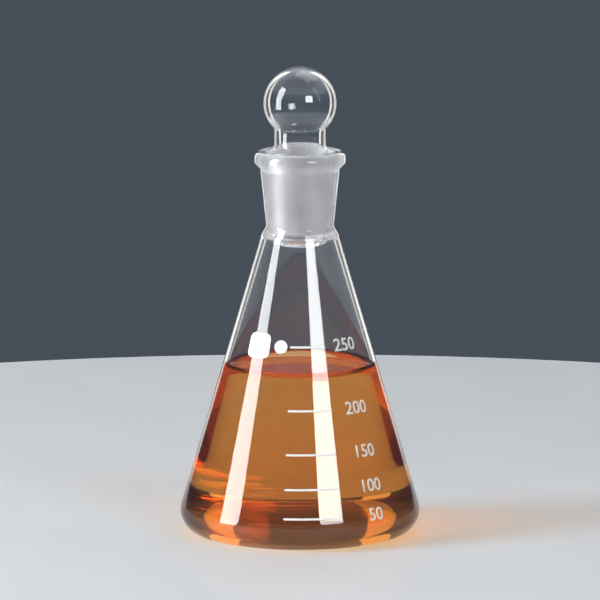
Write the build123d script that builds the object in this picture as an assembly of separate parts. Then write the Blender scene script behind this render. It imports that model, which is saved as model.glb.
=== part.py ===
from build123d import *
import math
import os

# A 250 ml conical (Erlenmeyer) flask of borosilicate glass with a ground 24/29 joint and a hollow
# blown stopper, part filled with an amber liquid, and its fired white enamel scale.
# Millimetres, +Z up. The origin is the centre of the standing ring, on the surface the flask
# stands on. The printed side faces -Y.

# ---- flask body ----
RIM_HEIGHT = 140.0
BASE_RADIUS = 43.5
CONE_HALF_ANGLE = math.radians(16.5)
WALL = 1.5
HEEL_RADIUS = 8.5
INNER_HEEL_RADIUS = 7.0
RING_INNER_RADIUS = 30.0
FLOOR_EDGE_RADIUS = 28.0
FLOOR_THICKNESS = 2.5
PUSH_UP = 1.6
SHOULDER_HEIGHT = 109.8
SHOULDER_FILLET = 3.0
SHOULDER_INNER_DROP = 1.4
NECK_BOTTOM = (12.25, 112.6)
NECK_TOP = (14.4, 133.4)
RIM_RADIUS = 16.5
RIM_UNDERSIDE = 135.7
RIM_MOUTH_RADIUS = 12.3
NECK_FOOT_FILLET = 1.4
NECK_TOP_FILLET = 1.5
RIM_LOWER_FILLET = 1.8
RIM_UPPER_FILLET = 2.6
MOUTH_FILLET = 0.3
SOCKET_FOOT_FILLET = 0.6
INNER_SHOULDER_FILLET = 2.0

# ---- ground joint 24/29: 24 mm across the large end, 1:10 taper, 29 mm long ----
JOINT_RADIUS = 12.0
JOINT_LENGTH = 29.0
JOINT_TAPER = 0.05
SOCKET_TOP = 139.2
GROUND_CLEARANCE = 0.04

# ---- stopper ----
BALL_RADIUS = 13.25
BALL_HEIGHT = 157.4
WAIST_RADIUS = 9.3
WAIST_FOOT = 141.7
WAIST_FILLET = 1.6
STOPPER_WALL = 1.5
PLUG_TOP = 140.2
PLUG_TIP = 105.6
PLUG_WALL = 1.9
WAIST_FOOT_FILLET = 1.0
PLUG_TOP_FILLET = 0.6
TIP_DRAW_IN = 0.2
TIP_FILLET = 4.0
THROAT_DROP = 0.6
HOLLOW_DROP = 2.0
HOLLOW_FILLET = 1.2
HOLLOW_TIP_FILLET = 3.2

# ---- contents and scale, in millilitres ----
FILL_VOLUME = 226.0
GRADUATIONS = (50, 100, 150, 200, 250)

# ---- enamel print: sizes in millimetres, angles in degrees to the right of the front ----
ENAMEL = 0.1
LINE_WIDTH = 0.7
LINE_FROM = -8.0
LINE_TO = 21.0
NUMERAL_ANGLE = 40.0
NUMERAL_HALF_WIDTH = 1.1
NUMERAL_HALF_HEIGHT = 2.0
NUMERAL_SPACING = 3.5
NUMERAL_ROUNDNESS = 0.98
STROKE = 0.7
DOT_ANGLE = -16.0
DOT_RADIUS = 2.4
SPOT_ANGLE = -36.0
SPOT_WIDTH = 9.0
SPOT_HEIGHT = 9.0
SPOT_CORNER = 2.0
PRINT_REACH = 60.0
PRINT_HALF_SWEEP = 45.0

SLOPE = math.tan(CONE_HALF_ANGLE)
CONE_FOOT = HEEL_RADIUS * (1 + math.sin(CONE_HALF_ANGLE))
CONE_FOOT_RADIUS = BASE_RADIUS - HEEL_RADIUS * (1 - math.cos(CONE_HALF_ANGLE))
WALL_ACROSS = WALL / math.cos(CONE_HALF_ANGLE)
SOCKET_FOOT = SOCKET_TOP - JOINT_LENGTH


def outer_radius(z):
    """Radius of the cone's outer surface at height z."""
    return CONE_FOOT_RADIUS - SLOPE * (z - CONE_FOOT)


def inner_radius(z):
    """Radius of the cone's inner surface at height z."""
    return outer_radius(z) - WALL_ACROSS


def socket_radius(z):
    """Radius of the ground socket at height z."""
    return JOINT_RADIUS - JOINT_TAPER * (SOCKET_TOP - z)


def turned(*lines):
    """The solid of revolution about Z of a closed outline drawn as (radius, height)."""
    return revolve(Plane.XZ * make_face(Curve() + list(lines)), Axis.Z)


def domed(edge_radius, edge_height):
    """The pushed-up centre of the base, as an arc from the axis out to its edge."""
    return TangentArc((0, edge_height + PUSH_UP), (edge_radius, edge_height), tangent=(1, 0))


def cavity_side(top):
    """Outline of the inside, from the point top down to the edge of the domed floor."""
    shoulder = SHOULDER_HEIGHT - SHOULDER_INNER_DROP
    return FilletPolyline(
        top,
        (socket_radius(SOCKET_FOOT), SOCKET_FOOT),
        (inner_radius(shoulder), shoulder),
        (inner_radius(FLOOR_THICKNESS), FLOOR_THICKNESS),
        (FLOOR_EDGE_RADIUS, FLOOR_THICKNESS),
        radius=[SOCKET_FOOT_FILLET, INNER_SHOULDER_FILLET, INNER_HEEL_RADIUS],
    )


def make_flask():
    """One blown piece: pushed-up base, heel, cone, shoulder, neck with its socket, and rim."""
    mouth = (JOINT_RADIUS, SOCKET_TOP)
    outside = FilletPolyline(
        (RING_INNER_RADIUS, 0),
        (outer_radius(0), 0),
        (outer_radius(SHOULDER_HEIGHT), SHOULDER_HEIGHT),
        NECK_BOTTOM,
        NECK_TOP,
        (RIM_RADIUS, RIM_UNDERSIDE),
        (RIM_RADIUS, RIM_HEIGHT),
        (RIM_MOUTH_RADIUS, RIM_HEIGHT),
        mouth,
        radius=[
            HEEL_RADIUS,
            SHOULDER_FILLET,
            NECK_FOOT_FILLET,
            NECK_TOP_FILLET,
            RIM_LOWER_FILLET,
            RIM_UPPER_FILLET,
            MOUTH_FILLET,
        ],
    )
    under = domed(RING_INNER_RADIUS, 0)
    floor = domed(FLOOR_EDGE_RADIUS, FLOOR_THICKNESS)
    middle = Line((0, PUSH_UP), (0, FLOOR_THICKNESS + PUSH_UP))
    return turned(under, outside, cavity_side(mouth), floor, middle)


def make_cavity():
    """The space inside the flask, up to the mouth of the socket."""
    mouth = (JOINT_RADIUS, SOCKET_TOP)
    floor = domed(FLOOR_EDGE_RADIUS, FLOOR_THICKNESS)
    lid = Line((0, SOCKET_TOP), mouth)
    middle = Line((0, FLOOR_THICKNESS + PUSH_UP), (0, SOCKET_TOP))
    return turned(floor, cavity_side(mouth), lid, middle)


def below(solid, z):
    """The part of a solid that lies below height z."""
    return split(solid, Plane.XY.offset(z), keep=Keep.BOTTOM)


def height_at(volume, foot, foot_volume):
    """Height to which a volume in millilitres fills the cone, above the height foot."""
    cubed = inner_radius(foot) ** 3 - 3 * SLOPE * (1000 * volume - foot_volume) / math.pi
    return foot + (inner_radius(foot) - cubed ** (1 / 3)) / SLOPE


def softened(solid, height, radius):
    """The solid with the round edge nearest a height blended to a radius."""
    ring = solid.edges().sort_by(lambda edge: abs(edge.center().Z - height))[0]
    return fillet(ring, radius)


def make_stopper():
    """One hollow blown piece: ball, waist and ground plug, closed at its tip."""
    plug_top_radius = socket_radius(SOCKET_TOP) - GROUND_CLEARANCE
    plug_foot_radius = socket_radius(SOCKET_FOOT) - GROUND_CLEARANCE
    ball_top = BALL_HEIGHT + BALL_RADIUS
    joint_angle = math.asin(WAIST_RADIUS / BALL_RADIUS)
    ball_foot = BALL_HEIGHT - BALL_RADIUS * math.cos(joint_angle)
    ball = ThreePointArc((0, ball_top), (BALL_RADIUS, BALL_HEIGHT), (WAIST_RADIUS, ball_foot))
    side = FilletPolyline(
        (WAIST_RADIUS, ball_foot),
        (WAIST_RADIUS, WAIST_FOOT),
        (plug_top_radius, PLUG_TOP),
        (plug_top_radius, SOCKET_TOP),
        (plug_foot_radius, SOCKET_FOOT),
        (plug_foot_radius - TIP_DRAW_IN, PLUG_TIP),
        (0, PLUG_TIP),
        radius=[WAIST_FOOT_FILLET, PLUG_TOP_FILLET, 0, 0, TIP_FILLET],
    )
    outer = turned(ball, side, Line((0, PLUG_TIP), (0, ball_top)))
    outer = softened(outer, ball_foot, WAIST_FILLET)

    hollow_radius = BALL_RADIUS - STOPPER_WALL
    throat_radius = WAIST_RADIUS - STOPPER_WALL
    hollow_top = BALL_HEIGHT + hollow_radius
    throat_top = BALL_HEIGHT - math.sqrt(hollow_radius**2 - throat_radius**2)
    hollow_ball = ThreePointArc(
        (0, hollow_top), (hollow_radius, BALL_HEIGHT), (throat_radius, throat_top)
    )
    hollow_side = FilletPolyline(
        (throat_radius, throat_top),
        (throat_radius, WAIST_FOOT - THROAT_DROP),
        (plug_top_radius - PLUG_WALL, PLUG_TOP - HOLLOW_DROP),
        (plug_foot_radius - PLUG_WALL, PLUG_TIP + PLUG_WALL),
        (0, PLUG_TIP + PLUG_WALL),
        radius=[HOLLOW_FILLET, HOLLOW_FILLET, HOLLOW_TIP_FILLET],
    )
    hollow = turned(hollow_ball, hollow_side, Line((0, PLUG_TIP + PLUG_WALL), (0, hollow_top)))
    return outer - softened(hollow, throat_top, WAIST_FILLET + STOPPER_WALL)


def enamel_band(low, high, start, sweep):
    """A thin band of enamel on the cone between two heights, from one angle round to another."""
    outline = Polyline(
        (outer_radius(low), low),
        (outer_radius(low) + ENAMEL, low),
        (outer_radius(high) + ENAMEL, high),
        (outer_radius(high), high),
        close=True,
    )
    band = revolve(Plane.XZ * make_face(outline), Axis.Z, sweep)
    return band.rotate(Axis.Z, start - 90)


def printed(shape, angle, z):
    """A flat shape laid on the cone as enamel, centred at an angle right of the front."""
    front = Plane((0, 0, z), x_dir=(1, 0, 0), z_dir=(0, -1, 0))
    prism = extrude(front * shape, PRINT_REACH).rotate(Axis.Z, angle)
    start = angle - PRINT_HALF_SWEEP
    return prism & enamel_band(z - SPOT_HEIGHT, z + SPOT_HEIGHT, start, 2 * PRINT_HALF_SWEEP)


def digit(character):
    """One of the numerals 0, 1, 2 and 5 as a stroke of even width round a path.

    The corners of the paths are shares of the numeral's half width and half height.
    """
    w = NUMERAL_HALF_WIDTH
    h = NUMERAL_HALF_HEIGHT
    bend = NUMERAL_ROUNDNESS * w
    if character == "0":
        outer = RectangleRounded(2 * w + STROKE, 2 * h + STROKE, bend + STROKE / 2)
        return outer - RectangleRounded(2 * w - STROKE, 2 * h - STROKE, bend - STROKE / 2)
    if character == "1":
        path = Polyline((-0.4 * w, 0.6 * h), (0.3 * w, h), (0.3 * w, -h))
    elif character == "2":
        corners = [(-w, 0.5 * h), (-w, h), (w, h), (w, 0.2 * h), (-w, -h), (w, -h)]
        path = FilletPolyline(*corners, radius=[0.5 * bend, bend, 0.5 * bend, 0])
    else:
        corners = [(w, h), (-w, h), (-w, 0.2 * h), (w, 0.2 * h), (w, -h), (-w, -h), (-w, -0.5 * h)]
        path = FilletPolyline(*corners, radius=[0, 0, bend, bend, 0.5 * bend])
    return trace(path, STROKE)


def make_graduations(heights):
    """One enamel line for each graduation."""
    half = LINE_WIDTH / 2
    sweep = LINE_TO - LINE_FROM
    return [enamel_band(z - half, z + half, LINE_FROM, sweep) for z in heights]


def make_numerals(heights):
    """The volume in millilitres beside each graduation, each numeral a solid of its own."""
    numerals = []
    for volume, z in zip(GRADUATIONS, heights):
        text = str(volume)
        for place, character in enumerate(text):
            across = (place - (len(text) - 1) / 2) * NUMERAL_SPACING
            angle = NUMERAL_ANGLE + math.degrees(across / outer_radius(z))
            numerals.append(printed(digit(character), angle, z))
    return numerals


def make_markings(z):
    """The rounded marking spot for a pencilled label, and the round dot beside it."""
    spot = RectangleRounded(SPOT_WIDTH, SPOT_HEIGHT, SPOT_CORNER)
    return [printed(spot, SPOT_ANGLE, z), printed(Circle(DOT_RADIUS), DOT_ANGLE, z)]


cavity = make_cavity()
foot_volume = below(cavity, CONE_FOOT).volume
graduation_heights = [height_at(v, CONE_FOOT, foot_volume) for v in GRADUATIONS]
level = height_at(FILL_VOLUME, CONE_FOOT, foot_volume)
top_line = graduation_heights[-1]

nodes = {
    "flask": make_flask(),
    "stopper": make_stopper(),
    "amber_liquid": below(cavity, level),
    "graduation_lines": Compound(children=make_graduations(graduation_heights)),
    "graduation_numerals": Compound(children=make_numerals(graduation_heights)),
    "marking_spots": Compound(children=make_markings(top_line)),
}

os.makedirs("parts", exist_ok=True)
for name, shape in nodes.items():
    export_step(shape, f"parts/{name}.step")

print("liquid level", round(level, 2), "graduations", [round(z, 2) for z in graduation_heights])
print("volume to the socket mouth in ml", round(cavity.volume / 1000, 1))
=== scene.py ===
"""Glass, liquid, enamel print and studio for a stoppered conical laboratory flask.

Sizes are in metres, in the frame of the CAD model: the origin is the centre of the standing ring,
+Z is up and the printed side faces -Y.
"""

import math

import bmesh
import bpy
from bpy.props import FloatProperty, FloatVectorProperty, PointerProperty
from mathutils import Matrix, Vector, noise


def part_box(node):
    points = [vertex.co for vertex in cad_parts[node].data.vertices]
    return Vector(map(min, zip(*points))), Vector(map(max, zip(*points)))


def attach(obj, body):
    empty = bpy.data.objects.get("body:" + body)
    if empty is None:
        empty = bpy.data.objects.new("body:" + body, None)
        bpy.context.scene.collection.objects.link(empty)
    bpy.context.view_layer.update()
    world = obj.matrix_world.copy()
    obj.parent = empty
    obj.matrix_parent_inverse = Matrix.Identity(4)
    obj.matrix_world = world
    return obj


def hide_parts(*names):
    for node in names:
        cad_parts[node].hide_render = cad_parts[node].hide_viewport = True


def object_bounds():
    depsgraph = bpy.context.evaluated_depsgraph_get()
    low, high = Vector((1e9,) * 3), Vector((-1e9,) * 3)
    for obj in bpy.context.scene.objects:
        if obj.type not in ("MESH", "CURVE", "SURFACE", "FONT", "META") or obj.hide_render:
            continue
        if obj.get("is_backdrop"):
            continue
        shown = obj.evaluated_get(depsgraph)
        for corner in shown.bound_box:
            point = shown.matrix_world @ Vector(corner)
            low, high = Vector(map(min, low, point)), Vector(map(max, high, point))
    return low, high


bl_info = {
    "name": "Stoppered conical flask",
    "version": (1, 0, 0),
    "blender": (4, 5, 0),
    "location": "View3D > Sidebar > Flask",
    "description": "Builds a stoppered conical flask of amber liquid and the studio around it",
    "category": "Add Mesh",
}

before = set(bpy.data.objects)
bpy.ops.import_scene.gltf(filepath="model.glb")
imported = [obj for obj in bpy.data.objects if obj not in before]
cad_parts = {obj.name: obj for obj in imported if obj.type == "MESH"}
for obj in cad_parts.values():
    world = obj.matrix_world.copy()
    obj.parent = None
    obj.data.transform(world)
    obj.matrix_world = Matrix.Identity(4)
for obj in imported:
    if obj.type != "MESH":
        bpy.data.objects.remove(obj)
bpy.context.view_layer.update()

MM = 0.001
FLASK_BODY = "flask_body"
STOPPER_BODY = "stopper_body"
FLASK_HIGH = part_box("flask")[1]
STOPPER_LOW, STOPPER_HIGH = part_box("stopper")
LIQUID_LOW, LIQUID_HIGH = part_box("amber_liquid")

# The turned meshes: steps round the axis, the longest straight run, and the turn of one facet
# of an arc in the outline.
TURN_STEPS = 192
RUN_STEP = 4 * MM
ARC_STEP = math.radians(7)

# Points nearer than this are one point, on a turned shape and on a letter.
MERGE = 0.001 * MM
LETTER_MERGE = 0.005 * MM

# Roundings of the flask's corners, and how its inside departs from them.
SHOULDER_ROUNDING = 3 * MM
NECK_FOOT_ROUNDING = 1.4 * MM
NECK_TOP_ROUNDING = 1.5 * MM
RIM_LOWER_ROUNDING = 1.8 * MM
RIM_UPPER_ROUNDING = 2.6 * MM
MOUTH_ROUNDING = 0.3 * MM
MOUTH_FLARE = 0.3 * MM
SOCKET_FOOT_ROUNDING = 0.6 * MM
INNER_SHOULDER_ROUNDING = 2 * MM
INNER_SHOULDER_DROP = 1.4 * MM

# Roundings of the stopper's corners, and how its hollow departs from them.
WAIST_FOOT_ROUNDING = 1 * MM
PLUG_TOP_ROUNDING = 0.6 * MM
TIP_DRAW_IN = 0.2 * MM
THROAT_DROP = 0.6 * MM
HOLLOW_DROP = 2 * MM
HOLLOW_ROUNDING = 1.2 * MM
HOLLOW_TIP_LOSS = 0.8 * MM

# The uneven surface of the cone: where it starts and stops, its depth, the stretch over which it
# fades, and how fast it changes across the cone and up it, in waves a metre.
RIPPLE_LOW = 14 * MM
RIPPLE_BELOW_SHOULDER = 4 * MM
RIPPLE_DEPTH = 0.02 * MM
RIPPLE_FADE = 8 * MM
RIPPLE_ACROSS = 22
RIPPLE_UP = 75

# The volumes on the scale, in millilitres, and the direction of its front from +X.
VOLUMES = (50, 100, 150, 200, 250)
FRONT = math.radians(-90)

# Places on the print as angles from the front towards +X, and how far a line runs round.
LINE_START = math.radians(-8)
LINE_SWEEP = math.radians(29)
NUMERAL_ANGLE = math.radians(40)
DOT_ANGLE = math.radians(-16)
SPOT_ANGLE = math.radians(-36)

# Corners of the marking spot, and how finely the print is cut.
SPOT_CORNER = 2 * MM
SPOT_CORNER_STEPS = 6
DOT_STEPS = 48
LINE_STEPS = 24
WRAP_STEP = 0.5 * MM

# The built-in letterform: its size and its extra weight for a numeral one unit high, and the
# steps in each of its curves.
LETTER_SIZE = 1.38
LETTER_WEIGHT = 0.012
LETTER_STEPS = 6

# Refractive indices, how far a face may lie off the ground cone, and the spread of noise values.
GLASS_INDEX = 1.474
LIQUID_INDEX = 1.335
GROUND_TOLERANCE = 0.15 * MM
NOISE_LOW = 0.3
NOISE_HIGH = 0.7

# The two tones that each kind of glass and the liquid wander between.
FLASK_TONES = ((0.985, 0.99, 0.985), (0.955, 0.97, 0.965))
STOPPER_TONES = ((0.98, 0.985, 0.99), (0.95, 0.96, 0.97))
GROUND_TONES = ((0.56, 0.53, 0.55), (0.47, 0.45, 0.48))
LIQUID_TONES = ((0.95, 0.58, 0.24), (0.91, 0.51, 0.18))

# The stage: thickness and steps of the round floor, the sines of the elevations at which the
# surroundings are haze and ceiling, and how often light may bounce and pass clear surfaces.
FLOOR_DEPTH = 8 * MM
FLOOR_STEPS = 256
HAZE_RISE = 0.12
CEILING_RISE = 0.6
BOUNCES = 32
CLEAR_SURFACES = 16

# Colours of the lamps.
COOL = (0.95, 0.985, 1.0)
WARM = (1.0, 0.95, 0.89)


# ---- sizes and colours a user would change -------------------------------------------------


def length(label, text, millimetres):
    """A length property with its default given in millimetres."""
    return FloatProperty(name=label, description=text, default=millimetres * MM, unit="LENGTH")


def colour(label, text, value):
    """A colour property."""
    return FloatVectorProperty(name=label, description=text, default=value, subtype="COLOR", size=3)


class FlaskSizes(bpy.types.PropertyGroup):
    """Sizes of the blown flask."""

    wall: length("Wall", "Thickness of the glass in the cone", 1.5)
    heel: length("Heel", "Radius of the rounded heel, outside", 8.5)
    inner_heel: length("Inner heel", "Radius of the rounded heel, inside", 7.0)
    ring: length("Standing ring", "Inner radius of the flat ring that the flask stands on", 30.0)
    floor_edge: length("Floor edge", "Radius of the domed middle of the floor, inside", 28.0)
    push_up: length("Push-up", "Rise of the middle of the base", 1.6)
    shoulder: length("Shoulder", "Height at which the cone meets the shoulder", 109.8)
    neck_foot: length("Neck foot", "Height at which the neck begins", 112.6)
    neck_foot_radius: length("Neck foot radius", "Outer radius where the neck begins", 12.25)
    neck_top: length("Neck top", "Height at which the rim begins", 133.4)
    neck_top_radius: length("Neck top radius", "Outer radius where the rim begins", 14.4)
    rim_radius: length("Rim", "Outer radius of the rolled rim", 16.5)
    rim_underside: length("Rim underside", "Height of the lower corner of the rim", 135.7)
    cone_angle: FloatProperty(
        name="Cone angle",
        description="Half angle of the cone",
        default=math.radians(16.5),
        subtype="ANGLE",
    )


class JointSizes(bpy.types.PropertyGroup):
    """Sizes of the ground joint and the stopper that fits it."""

    radius: length("Joint radius", "Radius of the large end of the ground joint", 12.0)
    run: length("Joint length", "Length of the ground joint", 29.0)
    top: length("Joint top", "Height of the large end of the joint", 139.2)
    taper: FloatProperty(name="Taper", description="Radius lost in a unit of length", default=0.05)
    gap: length("Ground gap", "Clearance between plug and socket", 0.04)
    ball: length("Ball", "Radius of the stopper's ball", 13.25)
    waist: length("Waist", "Radius of the stopper's waist", 9.3)
    waist_foot: length("Waist foot", "Height of the foot of the waist", 141.7)
    waist_blend: length("Waist blend", "Radius of the blend from waist to ball", 1.6)
    plug_top: length("Plug top", "Height of the top corner of the plug", 140.2)
    ball_wall: length("Ball wall", "Thickness of glass in the ball and waist", 1.5)
    plug_wall: length("Plug wall", "Thickness of glass in the plug", 1.9)
    tip: length("Tip", "Radius of the rounded tip of the plug", 4.0)


class LiquidLook(bpy.types.PropertyGroup):
    """Shape and colour of the contents."""

    overlap: length("Overlap", "How far the liquid reaches into the glass wall", 0.25)
    meniscus: length("Meniscus", "Radius of the curve where the liquid climbs the wall", 2.2)
    tint: colour("Amber", "Colour that the liquid lets through", (0.88, 0.60, 0.11))
    depth: FloatProperty(name="Depth of colour", description="Strength of the tint", default=27.0)


class PrintSizes(bpy.types.PropertyGroup):
    """Sizes of the enamel print."""

    thickness: length("Enamel", "How far the enamel stands out from the glass", 0.09)
    bedding: length("Bedding", "How far the enamel is fused into the glass", 0.05)
    line: length("Line width", "Width of a graduation line", 0.7)
    numeral: length("Numeral height", "Height of the numerals", 4.7)
    dot: length("Dot", "Radius of the round dot", 2.4)
    spot_width: length("Spot width", "Width of the marking spot", 9.0)
    spot_height: length("Spot height", "Height of the marking spot", 9.0)
    white: colour("Enamel white", "Colour of the fired enamel", (0.62, 0.62, 0.60))


class StageLook(bpy.types.PropertyGroup):
    """Floor, surroundings, lights and camera."""

    floor_radius: length("Floor", "Radius of the round floor", 380.0)
    floor_tone: colour("Floor tone", "Colour of the floor", (0.44, 0.445, 0.455))
    backdrop: colour("Surroundings", "Colour at and below the horizon", (0.062, 0.078, 0.098))
    haze: colour("Haze", "Colour a little above the horizon", (0.13, 0.145, 0.165))
    ceiling: colour("Ceiling", "Colour of the surroundings overhead", (0.42, 0.445, 0.48))
    distance: length("Distance", "From the camera to the middle of the flask", 3200.0)
    elevation: FloatProperty(
        name="Elevation", description="Camera above the horizon", default=math.radians(9.4),
        subtype="ANGLE",
    )
    lens: FloatProperty(name="Lens", description="Focal length in millimetres", default=530.0)


# ---- outlines and turned shapes ------------------------------------------------------------


def point(radius, height):
    """A point of an outline, which is drawn in the XZ plane."""
    return Vector((radius, 0, height))


def run_to(bm, end, target):
    """Draws a straight run from the vertex end, in equal short edges."""
    start = end.co.copy()
    count = max(1, math.ceil((target - start).length / RUN_STEP))
    for i in range(1, count + 1):
        vertex = bm.verts.new(start.lerp(target, i / count))
        bm.edges.new((end, vertex))
        end = vertex
    return end


def arc_about(bm, end, centre, angle):
    """Draws an arc from the vertex end about a centre. A positive angle turns it clockwise."""
    steps = max(2, math.ceil(abs(angle) / ARC_STEP))
    arc = bmesh.ops.spin(bm, geom=[end], cent=centre, axis=(0, 1, 0), angle=angle, steps=steps)
    return next(v for v in arc["geom_last"] if isinstance(v, bmesh.types.BMVert))


def round_corner(bm, end, corner, after, radius):
    """Draws the run to a corner and the arc that rounds it."""
    back = (end.co - corner).normalized()
    onward = (after - corner).normalized()
    turn = math.pi - back.angle(onward)
    cut = radius * math.tan(turn / 2)
    end = run_to(bm, end, corner + back * cut)
    centre = corner + (back + onward).normalized() * radius / math.cos(turn / 2)
    clockwise = back.cross(onward).y < 0
    return arc_about(bm, end, centre, turn if clockwise else -turn)


def draw_corners(bm, end, corners):
    """Draws straight runs through corners given as (radius, height, rounding)."""
    for i, (radius, height, rounding) in enumerate(corners):
        corner = point(radius, height)
        if rounding:
            end = round_corner(bm, end, corner, point(*corners[i + 1][:2]), rounding)
        else:
            end = run_to(bm, end, corner)
    return end


def dome_radius(edge_radius, rise):
    """Radius of the sphere that a shallow dome is cut from."""
    return (edge_radius**2 + rise**2) / (2 * rise)


def dome_out(bm, end, edge):
    """Draws the arc of a shallow dome from the vertex end on the axis out to an edge point."""
    radius = dome_radius(edge.x, end.co.z - edge.z)
    return arc_about(bm, end, end.co - point(0, radius), math.asin(edge.x / radius))


def turn_outline(bm):
    """Turns the outline drawn last once round the Z axis and closes it. Returns its faces."""
    turned = set(bm.faces)
    points = [v for v in bm.verts if not v.link_faces]
    runs = [e for e in bm.edges if not e.link_faces]
    bmesh.ops.spin(
        bm, geom=[*points, *runs], cent=(0, 0, 0), axis=(0, 0, 1), angle=math.tau,
        steps=TURN_STEPS, use_merge=True,
    )
    bmesh.ops.remove_doubles(bm, verts=bm.verts, dist=MERGE)
    surface = [face for face in bm.faces if face not in turned]
    bmesh.ops.recalc_face_normals(bm, faces=surface)
    return surface


def finished(bm, name, materials, body, nodes):
    """Makes the mesh a piece that rides on a body and stands for CAD nodes."""
    mesh = bpy.data.meshes.new(name)
    for material in materials:
        mesh.materials.append(material)
    bm.to_mesh(mesh)
    bm.free()
    piece = bpy.data.objects.new(name, mesh)
    bpy.context.scene.collection.objects.link(piece)
    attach(piece, body)
    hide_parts(*nodes)


# ---- shapes that several pieces share ------------------------------------------------------


def outer_radius(z):
    """Radius of the outside of the cone at height z."""
    sizes = bpy.context.scene.flask_sizes
    foot = sizes.heel * (1 + math.sin(sizes.cone_angle))
    foot_radius = FLASK_HIGH.x - sizes.heel * (1 - math.cos(sizes.cone_angle))
    return foot_radius - math.tan(sizes.cone_angle) * (z - foot)


def inner_radius(z):
    """Radius of the inside of the cone at height z."""
    sizes = bpy.context.scene.flask_sizes
    return outer_radius(z) - sizes.wall / math.cos(sizes.cone_angle)


def socket_radius(z):
    """Radius of the ground socket at height z."""
    joint = bpy.context.scene.joint_sizes
    return joint.radius - joint.taper * (joint.top - z)


def is_ground(face, gap):
    """Whether a face lies on the ground cone that is a gap inside the socket."""
    joint = bpy.context.scene.joint_sizes
    middle = face.calc_center_median()
    off = math.hypot(middle.x, middle.y) - socket_radius(middle.z) + gap
    return abs(off) < GROUND_TOLERANCE and joint.top - joint.run < middle.z < joint.top


def ripple(bm, low, high):
    """Gives the faintly uneven surface of blown glass to the wall between two heights."""
    pace = Vector((RIPPLE_ACROSS, RIPPLE_ACROSS, RIPPLE_UP))
    for vertex in bm.verts:
        share = min(1.0, max(0.0, min(vertex.co.z - low, high - vertex.co.z) / RIPPLE_FADE))
        if share > 0:
            outward = Vector((vertex.co.x, vertex.co.y, 0)).normalized()
            vertex.co += outward * RIPPLE_DEPTH * share * noise.noise(vertex.co * pace)


def smooth(bm):
    """Smooth shading all over."""
    for face in bm.faces:
        face.smooth = True


# ---- materials -----------------------------------------------------------------------------


def new_material(name):
    """An empty node material, its Principled shader and its output."""
    material = bpy.data.materials.new(name)
    material.use_nodes = True
    nodes = material.node_tree.nodes
    return material, nodes["Principled BSDF"], nodes["Material Output"]


def add_node(material, kind, **inputs):
    """A node with some of its inputs set; an underscore in a name stands for a space."""
    node = material.node_tree.nodes.new(kind)
    for name, value in inputs.items():
        node.inputs[name.replace("_", " ")].default_value = value
    return node


def object_noise(material, scale, detail, stretch=(1, 1, 1)):
    """Noise in the object's own coordinates, stretched along its axes."""
    links = material.node_tree.links
    place = add_node(material, "ShaderNodeTexCoord")
    mapping = add_node(material, "ShaderNodeMapping", Scale=stretch)
    pattern = add_node(material, "ShaderNodeTexNoise", Scale=scale, Detail=detail)
    links.new(place.outputs["Object"], mapping.inputs["Vector"])
    links.new(mapping.outputs["Vector"], pattern.inputs["Vector"])
    return pattern


def ranged(material, pattern, low, high):
    """The pattern spread between two values."""
    spread = add_node(material, "ShaderNodeMapRange", To_Min=low, To_Max=high)
    spread.inputs["From Min"].default_value = NOISE_LOW
    spread.inputs["From Max"].default_value = NOISE_HIGH
    material.node_tree.links.new(pattern.outputs["Fac"], spread.inputs["Value"])
    return spread.outputs["Result"]


def bumped(material, shader, pattern, strength, depth):
    """Raises the surface a little with the pattern."""
    bump = add_node(material, "ShaderNodeBump", Strength=strength, Distance=depth)
    material.node_tree.links.new(pattern.outputs["Fac"], bump.inputs["Height"])
    material.node_tree.links.new(bump.outputs["Normal"], shader.inputs["Normal"])


def shaded(tone, share):
    """The colour made darker or paler by a share of its brightness."""
    return tuple(min(1.0, share * channel) for channel in tone)


def blended(material, pattern, first, second):
    """A colour that wanders between two with the pattern."""
    mix = add_node(material, "ShaderNodeMix")
    mix.data_type = "RGBA"
    mix.inputs["A"].default_value = (*first, 1)
    mix.inputs["B"].default_value = (*second, 1)
    material.node_tree.links.new(ranged(material, pattern, 0, 1), mix.inputs["Factor"])
    return mix.outputs["Result"]


def lets_light_through(material, shader, output, tint):
    """Lets lamps shine through the surface, so that its shadow is light and tinted."""
    links = material.node_tree.links
    clear = add_node(material, "ShaderNodeBsdfTransparent", Color=(*tint, 1))
    path = add_node(material, "ShaderNodeLightPath")
    mix = add_node(material, "ShaderNodeMixShader")
    links.new(path.outputs["Is Shadow Ray"], mix.inputs[0])
    links.new(shader.outputs[0], mix.inputs[1])
    links.new(clear.outputs[0], mix.inputs[2])
    links.new(mix.outputs[0], output.inputs["Surface"])


def clear_glass(name, tones):
    """Borosilicate glass: almost colourless, with the faintest smears."""
    material, shader, output = new_material(name)
    shader.inputs["IOR"].default_value = GLASS_INDEX
    shader.inputs["Transmission Weight"].default_value = 1.0
    haze = object_noise(material, scale=35.0, detail=4.0)
    tone = blended(material, haze, *tones)
    material.node_tree.links.new(tone, shader.inputs["Base Color"])
    smear = ranged(material, haze, low=0.0, high=0.035)
    material.node_tree.links.new(smear, shader.inputs["Roughness"])
    lets_light_through(material, shader, output, tint=(0.9, 0.92, 0.92))
    return material


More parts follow.
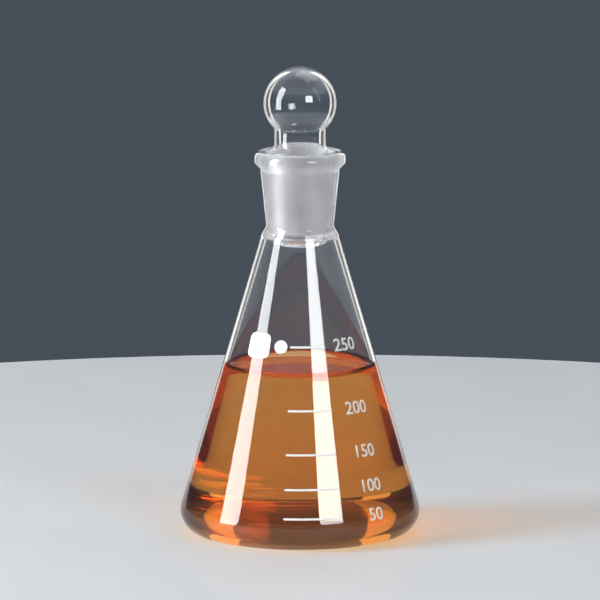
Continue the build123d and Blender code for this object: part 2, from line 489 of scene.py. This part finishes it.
def ground_glass(name):
    """The matt ground cone: finely pitted glass that scatters what passes through it."""
    material, shader, output = new_material(name)
    shader.inputs["IOR"].default_value = GLASS_INDEX
    grain = object_noise(material, scale=900.0, detail=5.0, stretch=(1, 1, 3))
    cloud = object_noise(material, scale=90.0, detail=3.0)
    tone = blended(material, cloud, *GROUND_TONES)
    roughness = ranged(material, cloud, low=0.36, high=0.5)
    clearness = ranged(material, cloud, low=0.84, high=0.92)
    links = material.node_tree.links
    links.new(tone, shader.inputs["Base Color"])
    links.new(roughness, shader.inputs["Roughness"])
    links.new(clearness, shader.inputs["Transmission Weight"])
    bumped(material, shader, grain, strength=0.35, depth=0.02 * MM)
    lets_light_through(material, shader, output, tint=(0.75, 0.74, 0.76))
    return material


def amber_liquid(look):
    """A clear amber liquid that deepens to brown with its depth."""
    material, shader, output = new_material("amber_liquid")
    shader.inputs["IOR"].default_value = LIQUID_INDEX
    shader.inputs["Transmission Weight"].default_value = 1.0
    shader.inputs["Roughness"].default_value = 0.0
    cloud = object_noise(material, scale=60.0, detail=4.0)
    tone = blended(material, cloud, *LIQUID_TONES)
    material.node_tree.links.new(tone, shader.inputs["Base Color"])
    depth = add_node(
        material, "ShaderNodeVolumeAbsorption", Color=(*look.tint, 1), Density=look.depth
    )
    material.node_tree.links.new(depth.outputs["Volume"], output.inputs["Volume"])
    lets_light_through(material, shader, output, tint=(0.95, 0.80, 0.55))
    return material


def white_enamel(white):
    """Fired white enamel: slightly uneven, with a soft gloss."""
    material, shader, _ = new_material("white_enamel")
    wear = object_noise(material, scale=700.0, detail=6.0)
    tone = blended(material, wear, white, shaded(white, 0.86))
    material.node_tree.links.new(tone, shader.inputs["Base Color"])
    gloss = ranged(material, wear, low=0.3, high=0.5)
    material.node_tree.links.new(gloss, shader.inputs["Roughness"])
    bumped(material, shader, wear, strength=0.25, depth=0.03 * MM)
    return material


def matt_floor(tone):
    """A pale matt surface with the faintest mottle."""
    material, shader, _ = new_material("pale_floor")
    mottle = object_noise(material, scale=18.0, detail=6.0)
    mottled = blended(material, mottle, tone, shaded(tone, 1.06))
    material.node_tree.links.new(mottled, shader.inputs["Base Color"])
    shader.inputs["Roughness"].default_value = 0.55
    return material


# ---- the pieces ----------------------------------------------------------------------------


class FLASK_OT_blow_flask(bpy.types.Operator):
    """Turns the flask: base, heel, cone, shoulder, neck with its ground socket, and rolled rim"""

    bl_idname = "flask.blow_flask"
    bl_label = "Blow the flask"

    def execute(self, context):
        sizes = context.scene.flask_sizes
        joint = context.scene.joint_sizes
        floor = LIQUID_LOW.z
        socket_foot = joint.top - joint.run
        inner_shoulder = sizes.shoulder - INNER_SHOULDER_DROP
        mouth = joint.radius + MOUTH_FLARE
        bm = bmesh.new()
        end = dome_out(bm, bm.verts.new(point(0, sizes.push_up)), point(sizes.ring, 0))
        end = draw_corners(bm, end, [
            (outer_radius(0), 0, sizes.heel),
            (outer_radius(sizes.shoulder), sizes.shoulder, SHOULDER_ROUNDING),
            (sizes.neck_foot_radius, sizes.neck_foot, NECK_FOOT_ROUNDING),
            (sizes.neck_top_radius, sizes.neck_top, NECK_TOP_ROUNDING),
            (sizes.rim_radius, sizes.rim_underside, RIM_LOWER_ROUNDING),
            (sizes.rim_radius, FLASK_HIGH.z, RIM_UPPER_ROUNDING),
            (mouth, FLASK_HIGH.z, MOUTH_ROUNDING),
            (joint.radius, joint.top, 0),
            (socket_radius(socket_foot), socket_foot, SOCKET_FOOT_ROUNDING),
            (inner_radius(inner_shoulder), inner_shoulder, INNER_SHOULDER_ROUNDING),
            (inner_radius(floor), floor, sizes.inner_heel),
            (sizes.floor_edge, floor, 0),
        ])
        dome = dome_radius(sizes.floor_edge, sizes.push_up)
        top_of_dome = point(0, floor + sizes.push_up)
        arc_about(bm, end, top_of_dome - point(0, dome), -math.asin(sizes.floor_edge / dome))
        turn_outline(bm)
        ripple(bm, RIPPLE_LOW, sizes.shoulder - RIPPLE_BELOW_SHOULDER)
        smooth(bm)
        for face in bm.faces:
            face.material_index = int(is_ground(face, 0))
        materials = [clear_glass("flask_glass", FLASK_TONES), ground_glass("ground_socket")]
        finished(bm, "flask_glass", materials, FLASK_BODY, ["flask"])
        return {"FINISHED"}


class FLASK_OT_blow_stopper(bpy.types.Operator):
    """Turns the hollow stopper: ball, waist and ground plug with its closed tip"""

    bl_idname = "flask.blow_stopper"
    bl_label = "Blow the stopper"

    def execute(self, context):
        joint = context.scene.joint_sizes
        foot = joint.top - joint.run
        tip = STOPPER_LOW.z
        top_radius = joint.radius - joint.gap
        foot_radius = socket_radius(foot) - joint.gap
        hollow_ball = joint.ball - joint.ball_wall
        throat = joint.waist - joint.ball_wall
        throat_blend = joint.waist_blend + joint.ball_wall
        hollow_tip = tip + joint.plug_wall
        bm = bmesh.new()
        end = self.ball_and_waist(bm, hollow_ball, throat, throat_blend)
        draw_corners(bm, end, [
            (throat, joint.waist_foot - THROAT_DROP, HOLLOW_ROUNDING),
            (top_radius - joint.plug_wall, joint.plug_top - HOLLOW_DROP, HOLLOW_ROUNDING),
            (foot_radius - joint.plug_wall, hollow_tip, joint.tip - HOLLOW_TIP_LOSS),
            (0, hollow_tip, 0),
        ])
        bmesh.ops.reverse_faces(bm, faces=turn_outline(bm))
        end = self.ball_and_waist(bm, joint.ball, joint.waist, joint.waist_blend)
        draw_corners(bm, end, [
            (joint.waist, joint.waist_foot, WAIST_FOOT_ROUNDING),
            (top_radius, joint.plug_top, PLUG_TOP_ROUNDING),
            (top_radius, joint.top, 0),
            (foot_radius, foot, 0),
            (foot_radius - TIP_DRAW_IN, tip, joint.tip),
            (0, tip, 0),
        ])
        turn_outline(bm)
        smooth(bm)
        for face in bm.faces:
            face.material_index = int(is_ground(face, joint.gap))
        materials = [clear_glass("stopper_glass", STOPPER_TONES), ground_glass("ground_plug")]
        finished(bm, "stopper_glass", materials, STOPPER_BODY, ["stopper"])
        return {"FINISHED"}

    def ball_and_waist(self, bm, ball, waist, blend):
        """Draws the arc of the ball from its top and the blend into the waist."""
        joint = bpy.context.scene.joint_sizes
        centre = point(0, STOPPER_HIGH.z - joint.ball)
        swing = math.asin((waist + blend) / (ball + blend))
        end = arc_about(bm, bm.verts.new(centre + point(0, ball)), centre, math.pi - swing)
        drop = math.sqrt((ball + blend) ** 2 - (waist + blend) ** 2)
        return arc_about(bm, end, centre + point(waist + blend, -drop), -(math.pi / 2 - swing))


class FLASK_OT_pour_liquid(bpy.types.Operator):
    """Turns the amber liquid, which wets the glass and climbs it in a meniscus"""

    bl_idname = "flask.pour_liquid"
    bl_label = "Pour the liquid"

    def execute(self, context):
        sizes = context.scene.flask_sizes
        look = context.scene.liquid_look
        lean = sizes.cone_angle
        floor = LIQUID_LOW.z - look.overlap
        level = LIQUID_HIGH.z
        past_wall = look.overlap / math.cos(lean)
        curve_height = level + look.meniscus
        curve_radius = inner_radius(curve_height) - look.meniscus / math.cos(lean)
        curve_centre = point(curve_radius, curve_height)
        contact = curve_centre + look.meniscus * Vector((math.cos(lean), 0, math.sin(lean)))
        bm = bmesh.new()
        middle = bm.verts.new(point(0, floor + sizes.push_up))
        end = dome_out(bm, middle, point(sizes.floor_edge, floor))
        end = draw_corners(bm, end, [
            (inner_radius(floor) + past_wall, floor, sizes.inner_heel + look.overlap),
            (contact.x + past_wall, contact.z, 0),
            (contact.x, contact.z, 0),
        ])
        end = arc_about(bm, end, curve_centre, math.pi / 2 + lean)
        run_to(bm, end, point(0, level))
        turn_outline(bm)
        smooth(bm)
        material = amber_liquid(look)
        finished(bm, "amber_liquid_body", [material], FLASK_BODY, ["amber_liquid"])
        return {"FINISHED"}


class FLASK_OT_print_scale(bpy.types.Operator):
    """Lays the white enamel on the cone: graduation lines, numerals, marking spot and dot"""

    bl_idname = "flask.print_scale"
    bl_label = "Print the scale"

    def execute(self, context):
        sizes = context.scene.print_sizes
        enamel = [white_enamel(sizes.white)]
        heights = self.line_heights()
        lines = bmesh.new()
        for height in heights:
            self.draw_line(lines, height, sizes)
        finished(lines, "graduation_line_print", enamel, FLASK_BODY, ["graduation_lines"])

        numerals = bmesh.new()
        for volume, height in zip(VOLUMES, heights):
            numeral = self.flat_numeral(str(volume), sizes.numeral)
            self.lay_on_cone(numerals, numeral, NUMERAL_ANGLE, height)
        finished(numerals, "numeral_print", enamel, FLASK_BODY, ["graduation_numerals"])

        spots = bmesh.new()
        self.lay_on_cone(spots, self.flat_spot(sizes), SPOT_ANGLE, heights[-1])
        self.lay_on_cone(spots, self.flat_dot(sizes), DOT_ANGLE, heights[-1])
        finished(spots, "marking_spot_print", enamel, FLASK_BODY, ["marking_spots"])
        return {"FINISHED"}

    def line_heights(self):
        """Middle heights of the CAD's graduation lines, whose corners lie at two heights each."""
        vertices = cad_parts["graduation_lines"].data.vertices
        corners = sorted({round(vertex.co.z, 5) for vertex in vertices})
        return [(low + high) / 2 for low, high in zip(corners[::2], corners[1::2])]

    def draw_line(self, bm, height, sizes):
        """A thin band round part of the cone."""
        start = Matrix.Rotation(FRONT + LINE_START, 3, "Z")
        lower = height - sizes.line / 2
        upper = height + sizes.line / 2
        inward, outward = -sizes.bedding, sizes.thickness
        rim = []
        for level, reach in ((lower, inward), (lower, outward), (upper, outward), (upper, inward)):
            rim.append(bm.verts.new(start @ point(outer_radius(level) + reach, level)))
        edges = [bm.edges.new((rim[i - 1], rim[i])) for i in range(4)]
        bmesh.ops.spin(
            bm, geom=[*rim, *edges], cent=(0, 0, 0), axis=(0, 0, 1), angle=LINE_SWEEP,
            steps=LINE_STEPS,
        )
        ends = [e for e in bm.edges if e.is_boundary]
        bmesh.ops.holes_fill(bm, edges=ends, sides=4)
        bmesh.ops.recalc_face_normals(bm, faces=bm.faces)

    def flat_numeral(self, text, height):
        """The numeral as flat faces in the XY plane, centred."""
        curve = bpy.data.curves.new("numeral", "FONT")
        curve.body = text
        curve.align_x = "CENTER"
        curve.align_y = "CENTER"
        curve.size = height * LETTER_SIZE
        curve.offset = height * LETTER_WEIGHT
        curve.resolution_u = LETTER_STEPS
        lettering = bpy.data.objects.new("numeral", curve)
        mesh = bpy.data.meshes.new_from_object(lettering)
        flat = bmesh.new()
        flat.from_mesh(mesh)
        bpy.data.objects.remove(lettering)
        bpy.data.curves.remove(curve)
        bpy.data.meshes.remove(mesh)
        bmesh.ops.remove_doubles(flat, verts=flat.verts, dist=LETTER_MERGE)
        return flat

    def flat_spot(self, sizes):
        """A rectangle with rounded corners in the XY plane."""
        flat = bmesh.new()
        bmesh.ops.create_grid(flat, x_segments=1, y_segments=1, size=0.5)
        bmesh.ops.scale(flat, verts=flat.verts, vec=(sizes.spot_width, sizes.spot_height, 1))
        bmesh.ops.bevel(
            flat, geom=flat.verts[:], offset=SPOT_CORNER, segments=SPOT_CORNER_STEPS,
            profile=0.5, affect="VERTICES", material=-1,
        )
        return flat

    def flat_dot(self, sizes):
        """A disc in the XY plane."""
        flat = bmesh.new()
        bmesh.ops.create_circle(flat, cap_ends=True, radius=sizes.dot, segments=DOT_STEPS)
        return flat

    def lay_on_cone(self, bm, flat, angle, height):
        """Gives a flat shape its thickness, wraps it on the cone at an angle and joins it to bm."""
        sizes = bpy.context.scene.print_sizes
        lean = bpy.context.scene.flask_sizes.cone_angle
        reach = max(abs(v.co.x) for v in flat.verts)
        cuts = 2 * math.ceil(reach / WRAP_STEP)
        for i in range(1, cuts):
            place = (reach * (2 * i / cuts - 1), 0, 0)
            geometry = [*flat.verts, *flat.edges, *flat.faces]
            bmesh.ops.bisect_plane(flat, geom=geometry, plane_co=place, plane_no=(1, 0, 0))
        under = flat.faces[:]
        raised = bmesh.ops.extrude_face_region(flat, geom=under, use_keep_orig=True)
        top = [v for v in raised["geom"] if isinstance(v, bmesh.types.BMVert)]
        bmesh.ops.translate(flat, verts=flat.verts, vec=(0, 0, -sizes.bedding))
        bmesh.ops.translate(flat, verts=top, vec=(0, 0, sizes.thickness + sizes.bedding))
        girth = outer_radius(height)
        for vertex in flat.verts:
            along = height + vertex.co.y * math.cos(lean)
            radius = outer_radius(along) + vertex.co.z
            turn = angle + vertex.co.x / girth
            vertex.co = Vector((radius * math.sin(turn), -radius * math.cos(turn), along))
        bmesh.ops.recalc_face_normals(flat, faces=flat.faces)
        mesh = bpy.data.meshes.new("print")
        flat.to_mesh(mesh)
        flat.free()
        bm.from_mesh(mesh)
        bpy.data.meshes.remove(mesh)


# ---- the stage -----------------------------------------------------------------------------


class FLASK_OT_set_stage(bpy.types.Operator):
    """Lays the floor, lights the flask and sets up the camera"""

    bl_idname = "flask.set_stage"
    bl_label = "Set the stage"

    def execute(self, context):
        look = context.scene.stage_look
        self.lay_floor(look)
        self.tint_world(look)
        # name, azimuth and elevation in degrees, distance, width and height in metres,
        # brightness, colour
        for name, azimuth, elevation, distance, width, height, glow, tint in (
            ("left_strip", -72, 17, 1.15, 0.42, 1.3, 18, COOL),
            ("right_strip", 31, 22, 1.2, 0.48, 0.42, 14, COOL),
            ("back_left_panel", -158, 9, 1.2, 0.26, 1.5, 1.3, WARM),
            ("back_right_panel", 158, 9, 1.2, 0.26, 1.5, 1.3, WARM),
            ("overhead", 150, 65, 1.3, 0.9, 0.9, 1.2, COOL),
        ):
            self.hang_light(name, azimuth, elevation, distance, (width, height), glow, tint)
        # This strip is wanted as a streak on the glass, and not as a patch seen through it.
        bpy.data.objects["left_strip"].visible_transmission = False
        self.place_camera(look)
        context.scene.view_settings.view_transform = "Standard"
        self.let_light_bounce(context.scene.cycles)
        return {"FINISHED"}

    def let_light_bounce(self, limits):
        """Enough bounces for light that is caught inside the glass and the liquid."""
        limits.max_bounces = BOUNCES
        limits.glossy_bounces = BOUNCES
        limits.transmission_bounces = BOUNCES
        limits.transparent_max_bounces = CLEAR_SURFACES

    def lay_floor(self, look):
        """A thin round table top."""
        bm = bmesh.new()
        bmesh.ops.create_cone(
            bm, cap_ends=True, segments=FLOOR_STEPS, radius1=look.floor_radius,
            radius2=look.floor_radius, depth=FLOOR_DEPTH,
            matrix=Matrix.Translation((0, 0, -FLOOR_DEPTH / 2)),
        )
        mesh = bpy.data.meshes.new("floor")
        bm.to_mesh(mesh)
        bm.free()
        mesh.materials.append(matt_floor(look.floor_tone))
        floor = bpy.data.objects.new("floor", mesh)
        bpy.context.scene.collection.objects.link(floor)
        floor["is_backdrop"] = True

    def tint_world(self, look):
        """Dark blue-grey surroundings that grow lighter overhead."""
        world = bpy.data.worlds.new("studio")
        world.use_nodes = True
        bpy.context.scene.world = world
        nodes, links = world.node_tree.nodes, world.node_tree.links
        place = nodes.new("ShaderNodeTexCoord")
        split = nodes.new("ShaderNodeSeparateXYZ")
        ramp = nodes.new("ShaderNodeValToRGB")
        links.new(place.outputs["Generated"], split.inputs["Vector"])
        links.new(split.outputs["Z"], ramp.inputs["Fac"])
        links.new(ramp.outputs["Color"], nodes["Background"].inputs["Color"])
        stops = ramp.color_ramp.elements
        stops[0].color = (*look.backdrop, 1)
        stops[1].position = CEILING_RISE
        stops[1].color = (*look.ceiling, 1)
        stops.new(HAZE_RISE).color = (*look.haze, 1)

    def hang_light(self, name, azimuth, elevation, distance, size, glow, tint):
        """An area light of a given brightness that faces the middle of the flask."""
        lamp = bpy.data.lights.new(name, "AREA")
        lamp.shape = "RECTANGLE"
        lamp.size, lamp.size_y = size
        lamp.energy = glow * math.pi * size[0] * size[1]
        lamp.color = tint
        light = bpy.data.objects.new(name, lamp)
        light.visible_camera = False
        light.matrix_world = self.seen_from(azimuth, elevation, distance)
        bpy.context.scene.collection.objects.link(light)

    def seen_from(self, azimuth, elevation, distance):
        """The place of a lamp or camera that looks at the middle of the object."""
        low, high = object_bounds()
        a, e = math.radians(azimuth), math.radians(elevation)
        back = Vector((math.sin(a) * math.cos(e), -math.cos(a) * math.cos(e), math.sin(e)))
        turn = (-back).to_track_quat("-Z", "Y").to_matrix().to_4x4()
        return Matrix.Translation((low + high) / 2 + distance * back) @ turn

    def place_camera(self, look):
        """A long lens that looks a little down on the flask."""
        camera = bpy.data.cameras.new("camera")
        camera.lens = look.lens
        seat = bpy.data.objects.new("camera", camera)
        seat.matrix_world = self.seen_from(0, math.degrees(look.elevation), look.distance)
        bpy.context.scene.collection.objects.link(seat)
        bpy.context.scene.camera = seat


# ---- the add-on ----------------------------------------------------------------------------


class FLASK_PT_sidebar(bpy.types.Panel):
    """Lists the steps that build the flask"""

    bl_label = "Conical flask"
    bl_space_type = "VIEW_3D"
    bl_region_type = "UI"
    bl_category = "Flask"

    def draw(self, context):
        for step in STEPS:
            self.layout.operator(step.bl_idname)


STEPS = (
    FLASK_OT_blow_flask,
    FLASK_OT_blow_stopper,
    FLASK_OT_pour_liquid,
    FLASK_OT_print_scale,
    FLASK_OT_set_stage,
)
GROUPS = {
    "flask_sizes": FlaskSizes,
    "joint_sizes": JointSizes,
    "liquid_look": LiquidLook,
    "print_sizes": PrintSizes,
    "stage_look": StageLook,
}


def register():
    """Adds the property groups, the steps and the panel."""
    for name, group in GROUPS.items():
        bpy.utils.register_class(group)
        setattr(bpy.types.Scene, name, PointerProperty(type=group))
    for step in STEPS:
        bpy.utils.register_class(step)
    bpy.utils.register_class(FLASK_PT_sidebar)


def unregister():
    """Takes them away again."""
    bpy.utils.unregister_class(FLASK_PT_sidebar)
    for step in reversed(STEPS):
        bpy.utils.unregister_class(step)
    for name, group in GROUPS.items():
        delattr(bpy.types.Scene, name)
        bpy.utils.unregister_class(group)


def main():
    """Builds everything in order."""
    register()
    bpy.ops.flask.blow_flask()
    bpy.ops.flask.blow_stopper()
    bpy.ops.flask.pour_liquid()
    bpy.ops.flask.print_scale()
    bpy.ops.flask.set_stage()


if __name__ == "__main__":
    main()
